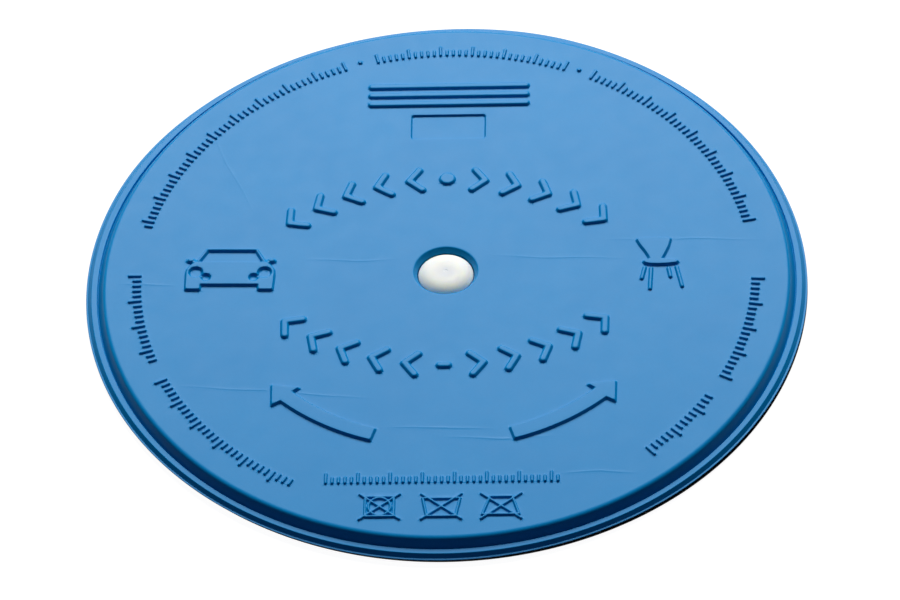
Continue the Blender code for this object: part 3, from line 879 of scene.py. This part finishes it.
def cushion_cover(material):
    """The moulded cover: seat face, rim with bead and lip, cavity for the foam, wall of the hub hole."""
    face = SeatFace(SEAT_EDGE - EDGE_BAND, HUB_EDGE + EDGE_BAND)
    for band in (0, EDGE_BAND):
        face.add_loop(ring(SEAT_EDGE - band, RIM_SEGMENTS), 0)
        face.add_loop(ring(HUB_EDGE + band, HUB_SEGMENTS), 0)
    add_figures(face)
    flat, heights, triangles, number = face.mesh()
    outer = [number[n] for n in range(RIM_SEGMENTS)]
    hub = [number[n] for n in range(RIM_SEGMENTS, RIM_SEGMENTS + HUB_SEGMENTS)]

    shell = Shell()
    levels = SEAT_LEVEL + heights + skin(flat)
    shell.vertices = [(x, y, z) for (x, y), z in zip(flat.tolist(), levels.tolist())]
    hole = set(hub)
    shell.faces = [tuple(face) for face in triangles if not set(face) <= hole]

    # Both profiles start inside the seat face; its own ring stands for their first two points
    rim = rounded(
        [
            (SEAT_EDGE - 1, SEAT_LEVEL),
            (SHOULDER, SEAT_LEVEL, SHOULDER_ROUND),
            (CREASE, CREASE_LEVEL, CREASE_ROUND),
            (BEAD_INNER, BEAD_LEVEL, BEAD_INNER_ROUND),
            (BEAD_OUTER, BEAD_LEVEL, BEAD_OUTER_ROUND),
            (BEAD_FOOT, LIP_TOP, BEAD_FOOT_ROUND),
            (LIP_RADIUS, LIP_TOP, LIP_EDGE),
            (LIP_RADIUS, COVER_BOTTOM, LIP_EDGE),
            (INNER_WALL, COVER_BOTTOM),
            (INNER_WALL, CREASE_LEVEL - LIP_THICKNESS),
            (INNER_SHOULDER, CEILING),
        ],
        closed=False,
    )
    ceiling_outer = shell.turn(rim[2:], RIM_SEGMENTS, start=outer)
    bore = rounded(
        [
            (HUB_EDGE + 1, SEAT_LEVEL),
            (HUB_MOUTH, SEAT_LEVEL, HUB_MOUTH_ROUND),
            (HUB_THROAT, SEAT_LEVEL - HUB_MOUTH_DEPTH, HUB_THROAT_ROUND),
            (HUB_THROAT, BUSH_TOP, LIP_EDGE),
            (BUSH_FLANGE_RADIUS + FIT_GAP, BUSH_TOP, LIP_EDGE),
            (BUSH_FLANGE_RADIUS + FIT_GAP, COVER_BOTTOM, LIP_EDGE),
            (HUB_THROAT + HUB_WALL, COVER_BOTTOM),
            (HUB_THROAT + HUB_WALL, CEILING),
        ],
        closed=False,
    )
    ceiling_inner = shell.turn(bore[2:], HUB_SEGMENTS, start=hub)
    shell.fill(ceiling_outer, ceiling_inner)
    shell.vertices = dented(np.array(shell.vertices)).tolist()
    cover = add_piece("cushion_cover", shell, material, "seat", "seat_cover")


def cushion_foam(material):
    corners = [
        (HUB_THROAT + HUB_WALL + FIT_GAP, COVER_BOTTOM, FOAM_BOTTOM_ROUND),
        (HUB_THROAT + HUB_WALL + FIT_GAP, FOAM_TOP, FOAM_TOP_ROUND),
        (INNER_SHOULDER - FIT_GAP, FOAM_TOP, FOAM_TOP_ROUND),
        (INNER_WALL - FIT_GAP, CREASE_LEVEL - LIP_THICKNESS),
        (INNER_WALL - FIT_GAP, COVER_BOTTOM, FOAM_BOTTOM_ROUND),
    ]
    foam = turned_piece("cushion_foam", corners, FOAM_SEGMENTS, material, "seat", "seat_foam")


# Pivot, sheets and mat
SHANK_RADIUS = 6.0
SHANK_BORE = 3.9
BORE_ROOF = 2.4
SNAP_REACH = 0.6
SNAP_HEIGHT = 0.8
SNAP_DEPTH = 1.3
SNAP_TOP = STEM_TOP - SNAP_DEPTH
SNAP_BOTTOM = SNAP_TOP - SNAP_HEIGHT
SNAP_EDGE = 0.1
SHANK_EDGE = 0.2
INSIDE_ROUND = 0.3
STEM_RADIUS = SHANK_BORE - FIT_GAP
STEM_HOLLOW = 2.2
STEM_ROOF = 2.0
STEM_NOSE = 0.8
SOCKET_FLANGE = 0.65
SOCKET_EDGE = 0.25
FLANGE_EDGE = 0.15
HEAD_BOTTOM = WASHER_LEVELS[1] + LAYER_GAP
HEAD_SIDE = 1.5
HEAD_EDGE = 0.4
HEAD_SHOULDER = 0.5
BUSH_BORE = SHANK_RADIUS + FIT_GAP
BUSH_RADIUS = 7.8
BUSH_EDGE = 0.12
SHEET_EDGE = 0.12
MAT_EDGE = 0.25
MAT_SHIFT = (0.4, 0.2)
MAT_HOLE_RADIUS = 16.5
MAT_BORDER = 4.0
MAT_STEP = 0.3
MAT_STEP_ROUND = 0.1
MAT_STUD_HEIGHT = 0.4
MAT_STUD_RADIUS = 1.6
MAT_STUD_DRAFT = 0.35
MAT_STUD_PITCH = 6.6
MAT_STUD_SIDES = 8
MAT_STUD_MARGIN = 1.0
PIVOT_SEGMENTS = 128
DISC_SEGMENTS = 384
DOME_STEPS = 24
DOME_POWER = 5
CROWN_DROP = 1.2
GATE_RADIUS = 1.0
GATE_DEPTH = 0.12


def cap_section():
    """The button: a low dome on a round head, over a hollow shank with a groove for the snap ring."""
    crown = DOME_TOP - CROWN_DROP
    rise = crown - HEAD_BOTTOM - HEAD_SIDE
    dome = [(0, crown - GATE_DEPTH), (GATE_RADIUS - GATE_DEPTH, crown - GATE_DEPTH)]
    for step in range(DOME_STEPS):
        share = GATE_RADIUS / HEAD_RADIUS + (1 - GATE_RADIUS / HEAD_RADIUS) * step / DOME_STEPS
        dome.append((share * HEAD_RADIUS, crown - rise * share**DOME_POWER))
    top = DOME_TOP - BORE_ROOF
    return [
        *dome,
        (HEAD_RADIUS, HEAD_BOTTOM + HEAD_SIDE, HEAD_SHOULDER),
        (HEAD_RADIUS, HEAD_BOTTOM, HEAD_EDGE),
        (SHANK_RADIUS, HEAD_BOTTOM, INSIDE_ROUND),
        (SHANK_RADIUS, SHANK_BOTTOM, SHANK_EDGE),
        (SHANK_BORE, SHANK_BOTTOM, SHANK_EDGE),
        (SHANK_BORE, SNAP_BOTTOM - FIT_GAP),
        (SHANK_BORE + SNAP_REACH, SNAP_BOTTOM - FIT_GAP, SNAP_EDGE),
        (SHANK_BORE + SNAP_REACH, SNAP_TOP + FIT_GAP, SNAP_EDGE),
        (SHANK_BORE, SNAP_TOP + FIT_GAP),
        (SHANK_BORE, top, INSIDE_ROUND),
        (0, top),
    ]


def socket_section():
    """The socket: a flange under the base with a hollow stem that snaps into the button's shank."""
    flange_top = SOCKET_BOTTOM + SOCKET_FLANGE
    return [
        (0, STEM_TOP),
        (STEM_RADIUS, STEM_TOP, STEM_NOSE),
        (STEM_RADIUS, SNAP_TOP),
        (STEM_RADIUS + SNAP_REACH, SNAP_BOTTOM + SNAP_HEIGHT / 2, SNAP_EDGE),
        (STEM_RADIUS + SNAP_REACH, SNAP_BOTTOM, SNAP_EDGE),
        (STEM_RADIUS, SNAP_BOTTOM),
        (STEM_RADIUS, flange_top, INSIDE_ROUND),
        (SOCKET_RADIUS, flange_top, FLANGE_EDGE),
        (SOCKET_RADIUS, SOCKET_BOTTOM, SOCKET_EDGE),
        (STEM_HOLLOW, SOCKET_BOTTOM, SOCKET_EDGE),
        (STEM_HOLLOW, STEM_TOP - STEM_ROOF, INSIDE_ROUND),
        (0, STEM_TOP - STEM_ROOF),
    ]


def bush_section():
    return [
        (BUSH_BORE, BUSH_TOP, BUSH_EDGE),
        (BUSH_FLANGE_RADIUS, BUSH_TOP, FLANGE_EDGE),
        (BUSH_FLANGE_RADIUS, COVER_BOTTOM, FLANGE_EDGE),
        (BUSH_RADIUS, COVER_BOTTOM),
        (BUSH_RADIUS, BUSH_BOTTOM, BUSH_EDGE),
        (BUSH_BORE, BUSH_BOTTOM, BUSH_EDGE),
    ]


def disc_section(low, high, hole, radius):
    corners = ((hole, high), (radius, high), (radius, low), (hole, low))
    return [(x, y, SHEET_EDGE) for x, y in corners]


def grip_mat(material):
    """The mat: smooth on top, with a sunk field of small studs between two flat borders underneath."""
    shell = Shell()
    outer_field = MAT_RADIUS - MAT_BORDER - MAT_STEP
    inner_field = MAT_HOLE_RADIUS + MAT_BORDER + MAT_STEP
    profile = rounded(
        [
            (outer_field, MAT_STUD_HEIGHT),
            (outer_field + MAT_STEP, 0, MAT_STEP_ROUND),
            (MAT_RADIUS, 0, MAT_EDGE),
            (MAT_RADIUS, MAT_HIGH.z, MAT_EDGE),
            (MAT_HOLE_RADIUS, MAT_HIGH.z, MAT_EDGE),
            (MAT_HOLE_RADIUS, 0, MAT_EDGE),
            (inner_field - MAT_STEP, 0, MAT_STEP_ROUND),
            (inner_field, MAT_STUD_HEIGHT),
        ],
        closed=False,
    )
    first = shell.add_ring(*profile[0], DISC_SEGMENTS)
    last = shell.turn(profile[1:], DISC_SEGMENTS, start=first)
    studs = []
    clear = MAT_STUD_RADIUS + MAT_STUD_MARGIN
    row = MAT_STUD_PITCH * sin(pi / 3)
    count = ceil(outer_field / row)
    for j in range(-count, count + 1):
        for i in range(-count, count + 1):
            x, y = (i + j % 2 / 2) * MAT_STUD_PITCH, j * row
            if inner_field + clear < np.hypot(x, y) < outer_field - clear:
                studs.append(shell.add_ring(MAT_STUD_RADIUS, MAT_STUD_HEIGHT, MAT_STUD_SIDES, x, y))
                studs.append(shell.add_ring(MAT_STUD_RADIUS - MAT_STUD_DRAFT, 0, MAT_STUD_SIDES, x, y))
    shell.fill(first, last, *studs)
    shift_x, shift_y = MAT_SHIFT
    shell.vertices = [(x + MAT_CENTRE + shift_x, y + shift_y, z) for x, y, z in shell.vertices]
    add_piece("grip_mat", shell, material, "base", "anti_slip_mat")


# Materials
def linear(channel):
    """One channel of a display colour, 0 to 255, as the linear value that a shader takes."""
    value = channel / 255
    return value / 12.92 if value <= 0.04045 else ((value + 0.055) / 1.055) ** 2.4


def colour(*channels):
    return (*map(linear, channels), 1)


class Look:
    """A material built round one Principled shader, with short calls for the nodes that feed it."""

    def __init__(self, name, roughness, specular=0.5):
        self.material = bpy.data.materials.new(name)
        self.material.use_nodes = True
        tree = self.material.node_tree
        self.nodes, self.links = tree.nodes, tree.links
        self.shader = self.nodes["Principled BSDF"]
        self.shader.inputs["Roughness"].default_value = roughness
        self.shader.inputs["Specular IOR Level"].default_value = specular
        self.place = self.nodes.new("ShaderNodeTexCoord").outputs["Object"]
        self.height = None

    def noise(self, per_metre, detail=2, distortion=0.0):
        node = self.nodes.new("ShaderNodeTexNoise")
        node.inputs["Scale"].default_value = per_metre
        node.inputs["Detail"].default_value = detail
        node.inputs["Distortion"].default_value = distortion
        self.links.new(self.place, node.inputs["Vector"])
        return node.outputs["Fac"]

    def spread(self, source, low, high, start=0.3, end=0.7):
        """The source, from start to end, spread over the range from low to high."""
        node = self.nodes.new("ShaderNodeMapRange")
        for name, value in (("From Min", start), ("From Max", end), ("To Min", low), ("To Max", high)):
            node.inputs[name].default_value = value
        self.links.new(source, node.inputs["Value"])
        return node.outputs["Result"]

    def blend(self, factor, first, second):
        """A mix of two colours, each a colour or the output of a node."""
        node = self.nodes.new("ShaderNodeMix")
        node.data_type = "RGBA"
        self.links.new(factor, node.inputs["Factor"])
        # Inputs 6 and 7 take the colours, and output 2 gives their mix
        for socket, value in zip(node.inputs[6:8], (first, second)):
            if isinstance(value, tuple):
                socket.default_value = value
            else:
                self.links.new(value, socket)
        return node.outputs[2]

    def cloud(self, source, first, second):
        """A mix of two display colours that follows the source."""
        return self.blend(self.spread(source, 0, 1), colour(*first), colour(*second))

    def set(self, name, source):
        self.links.new(source, self.shader.inputs[name])

    def emboss(self, source, depth_mm, strength=1.0):
        """Adds the source to the surface's fine relief."""
        node = self.nodes.new("ShaderNodeBump")
        node.inputs["Strength"].default_value = strength
        node.inputs["Distance"].default_value = depth_mm * MM
        self.links.new(source, node.inputs["Height"])
        if self.height:
            self.links.new(self.height, node.inputs["Normal"])
        self.height = node.outputs["Normal"]
        self.links.new(self.height, self.shader.inputs["Normal"])


def blue_skin():
    """Matte soft-touch skin: nearly even blue, with a faint cloudiness and a fine grain."""
    look = Look("soft_blue_skin", 0.33, 0.1)
    base = look.cloud(look.noise(26, 3), (0, 134, 196), (0, 137, 199))
    speckled = look.spread(look.noise(700), 0, 0.35)
    look.set("Base Color", look.blend(speckled, base, colour(0, 130, 191)))
    look.set("Roughness", look.spread(look.noise(90, 3), 0.31, 0.35))
    look.emboss(look.noise(150, 3, 0.4), 0.02, 0.5)
    look.emboss(look.noise(1400), 0.02, 0.5)
    return look.material


def white_plastic():
    look = Look("white_plastic", 0.43, 0.15)
    look.shader.inputs["Subsurface Weight"].default_value = 1.0
    look.shader.inputs["Subsurface Radius"].default_value = (1.0, 0.85, 0.65)
    look.shader.inputs["Subsurface Scale"].default_value = 3 * MM
    look.set("Base Color", look.cloud(look.noise(120, 3), (252, 248, 237), (250, 245, 232)))
    look.set("Roughness", look.spread(look.noise(300, 3), 0.38, 0.48))
    look.emboss(look.noise(500), 0.01, 0.4)
    return look.material


def glide_sheet():
    look = Look("glide_sheet", 0.3, 0.5)
    look.set("Base Color", look.cloud(look.noise(60, 3), (212, 214, 212), (222, 224, 222)))
    look.set("Roughness", look.spread(look.noise(220), 0.25, 0.38))
    look.emboss(look.noise(400), 0.01, 0.4)
    return look.material


def foam_block():
    look = Look("foam_block", 0.9, 0.2)
    cells = look.noise(1500, 3)
    look.set("Base Color", look.cloud(cells, (176, 176, 172), (200, 200, 196)))
    look.set("Roughness", look.spread(look.noise(800), 0.85, 0.95))
    look.emboss(cells, 0.15, 0.8)
    return look.material


def black_rubber():
    look = Look("black_rubber", 0.75, 0.3)
    look.set("Base Color", look.cloud(look.noise(80, 4), (18, 18, 18), (28, 28, 28)))
    look.set("Roughness", look.spread(look.noise(300), 0.7, 0.85))
    look.emboss(look.noise(1200, 3), 0.06, 0.7)
    return look.material


# Camera, floor, world and lamp
FOCAL_PIXELS = 4199.22
PHOTO_WIDTH = 900
SENSOR = 36
ELEVATION = radians(47.763)
ROLL = radians(-2.952)
SEAT_TURN = radians(2.95)
CAMERA_PLACE = (1.478, -1496.4, 1625.0)


def add_camera():
    """The photograph's camera: its place is given over the seat face, before the seat's own turn."""
    data = bpy.data.cameras.new("camera")
    data.sensor_width = SENSOR
    data.lens = FOCAL_PIXELS * SENSOR / PHOTO_WIDTH
    camera = new_object("camera", data)
    level = Vector((1, 0, 0))
    ahead = Vector((0, cos(ELEVATION), -sin(ELEVATION)))
    upright = Vector((0, sin(ELEVATION), cos(ELEVATION)))
    right = cos(ROLL) * level + sin(ROLL) * upright
    up = cos(ROLL) * upright - sin(ROLL) * level
    axes = Matrix((right, up, -ahead)).transposed().to_4x4()
    place = (Vector(CAMERA_PLACE) + Vector((0, 0, SEAT_LEVEL))) * MM
    camera.matrix_world = Matrix.Rotation(SEAT_TURN, 4, "Z") @ Matrix.Translation(place) @ axes
    bpy.context.scene.camera = camera


def seen_directly(nodes, links):
    """One for rays from the camera and for those that gloss or glass sends on, nought for all others."""
    path = nodes.new("ShaderNodeLightPath")
    factor = path.outputs["Is Camera Ray"]
    for name in ("Is Glossy Ray", "Is Transmission Ray"):
        larger = nodes.new("ShaderNodeMath")
        larger.operation = "MAXIMUM"
        links.new(factor, larger.inputs[0])
        links.new(path.outputs[name], larger.inputs[1])
        factor = larger.outputs[0]
    return factor


STAGE_RADIUS = 15.0
BACKDROP_RISE = 1.6
STAGE_SEGMENTS = 96
FLOOR_SHADOW = 0.2
FLOOR_WHITE = 0.96
FLOOR_BOUNCE = 0.05


def stage_material():
    """White with the object's soft shadow; other surfaces get only a weak bounce from it."""
    material = bpy.data.materials.new("stage")
    material.use_nodes = True
    nodes, links = material.node_tree.nodes, material.node_tree.links
    nodes.remove(nodes["Principled BSDF"])
    lit = nodes.new("ShaderNodeBsdfDiffuse")
    lit.inputs["Color"].default_value = (FLOOR_SHADOW, FLOOR_SHADOW, FLOOR_SHADOW, 1)
    glow = nodes.new("ShaderNodeEmission")
    glow.inputs["Strength"].default_value = FLOOR_WHITE
    shown = nodes.new("ShaderNodeAddShader")
    bounce = nodes.new("ShaderNodeBsdfDiffuse")
    bounce.inputs["Color"].default_value = (FLOOR_BOUNCE, FLOOR_BOUNCE, FLOOR_BOUNCE, 1)
    mix = nodes.new("ShaderNodeMixShader")
    links.new(lit.outputs[0], shown.inputs[0])
    links.new(glow.outputs[0], shown.inputs[1])
    links.new(seen_directly(nodes, links), mix.inputs["Fac"])
    links.new(bounce.outputs[0], mix.inputs[1])
    links.new(shown.outputs[0], mix.inputs[2])
    links.new(mix.outputs[0], nodes["Material Output"].inputs["Surface"])
    return material


def add_stage():
    """A pale round floor with a low backdrop all round, far from the object."""
    low = CAD_BOX[0].z
    around = ring(STAGE_RADIUS, STAGE_SEGMENTS).tolist()
    vertices = [(0, 0, low)]
    vertices += [(x, y, height) for height in (low, BACKDROP_RISE) for x, y in around]
    faces = []
    for index in range(STAGE_SEGMENTS):
        a = 1 + index
        b = 1 + (index + 1) % STAGE_SEGMENTS
        faces += [(0, a, b), (b, a, a + STAGE_SEGMENTS, b + STAGE_SEGMENTS)]
    mesh = bpy.data.meshes.new("stage")
    mesh.from_pydata(vertices, [], faces)
    mesh.materials.append(stage_material())
    new_object("stage", mesh)


WORLD_FILL = 0.065
WORLD_TINT = (0.55, 0.8, 1.5, 1)


def add_world():
    """A dim, even and slightly blue fill."""
    world = bpy.data.worlds.new("studio")
    bpy.context.scene.world = world
    world.use_nodes = True
    background = world.node_tree.nodes["Background"]
    background.inputs["Color"].default_value = WORLD_TINT
    background.inputs["Strength"].default_value = WORLD_FILL


def add_lamp(name, azimuth, elevation, distance, size, radiance):
    """A soft box that faces the seat; its azimuth goes from the back of the seat towards its right."""
    data = bpy.data.lights.new(name, "AREA")
    data.shape = "RECTANGLE"
    data.size, data.size_y = size
    data.energy = radiance * pi * size[0] * size[1]
    lamp = new_object(name, data)
    turn, rise = radians(azimuth), radians(elevation)
    towards = Vector((sin(turn) * cos(rise), cos(turn) * cos(rise), sin(rise)))
    lamp.location = towards * distance
    lamp.rotation_mode = "QUATERNION"
    lamp.rotation_quaternion = towards.to_track_quat("Z", "Y")


add_camera()
add_world()
add_stage()
add_lamp("key", azimuth=2, elevation=42, distance=3.5, size=(2.8, 1.4), radiance=14.2)
cushion_cover(blue_skin())
cushion_foam(foam_block())
white = white_plastic()
for name, section, body, node in (
    ("pivot_cap", cap_section(), "base", "pivot_button"),
    ("pivot_base", socket_section(), "base", "pivot_socket"),
    ("turning_bush", bush_section(), "seat", "hub_bush"),
    ("thrust_washer", disc_section(*WASHER_LEVELS, BUSH_BORE, WASHER_RADIUS), "seat", "head_washer"),
):
    turned_piece(name, section, PIVOT_SEGMENTS, white, body, node)
sheet = glide_sheet()
upper = disc_section(*UPPER_SHEET_LEVELS, BUSH_RADIUS + FIT_GAP, UPPER_SHEET_RADIUS)
turned_piece("upper_sheet", upper, DISC_SEGMENTS, sheet, "seat", "upper_glide_sheet")
lower = disc_section(*LOWER_SHEET_LEVELS, BUSH_BORE, LOWER_SHEET_RADIUS)
turned_piece("lower_sheet", lower, DISC_SEGMENTS, sheet, "base", "lower_glide_sheet")
grip_mat(black_rubber())

bpy.context.scene.view_settings.view_transform = "Standard"
